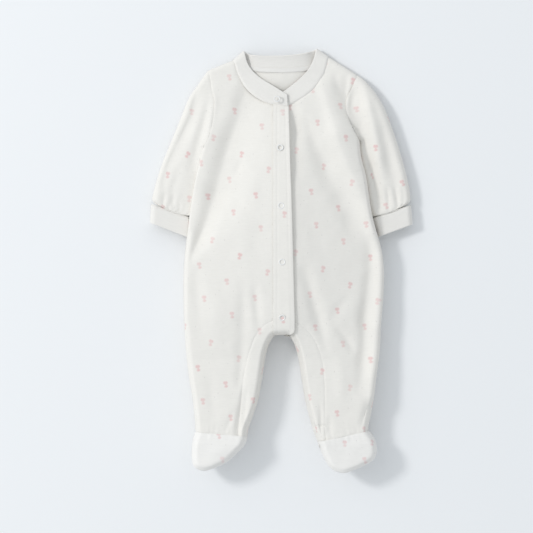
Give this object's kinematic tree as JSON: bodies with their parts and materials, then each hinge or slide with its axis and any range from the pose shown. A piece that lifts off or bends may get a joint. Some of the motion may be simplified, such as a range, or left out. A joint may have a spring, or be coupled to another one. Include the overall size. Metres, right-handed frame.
{
  "type": "baby sleepsuit with feet",
  "caption": "Baby's long-sleeved footed sleepsuit in soft printed knit, laid flat and lightly filled out, with a snap placket down the front",
  "frame": {"origin": "on the surface the suit lies on, below the middle of its outline", "axes": "+Y towards the neck, +Z out of the front, away from the surface; +X towards the viewer's right, which is the wearer's left side"},
  "size_m": [0.3424, 0.5514, 0.0539],
  "materials": {
    "printed_knit": "soft off-white cotton knit with a small scattered pink motif",
    "plain_knit": "plain off-white doubled knit, as neckband and cuffs",
    "woven_tape": "plain off-white woven tape",
    "pearl_metal": "painted pearl-white metal snap ring"
  },
  "bodies": {
    "root": {"back": "printed_knit", "front_left": "printed_knit", "front_right": "printed_knit", "inseam_left": "printed_knit", "inseam_right": "printed_knit", "placket_over": "printed_knit", "placket_under": "printed_knit", "sleeve_left": "printed_knit", "sleeve_right": "printed_knit", "foot_upper_left": "printed_knit", "foot_upper_right": "printed_knit", "sole_left": "printed_knit", "sole_right": "printed_knit", "neckband": "plain_knit", "cuff_left": "plain_knit", "cuff_right": "plain_knit", "neck_tape": "woven_tape", "snap_1": "pearl_metal", "snap_2": "pearl_metal", "snap_3": "pearl_metal", "snap_4": "pearl_metal", "snap_5": "pearl_metal"}
  },
  "joints": []
}
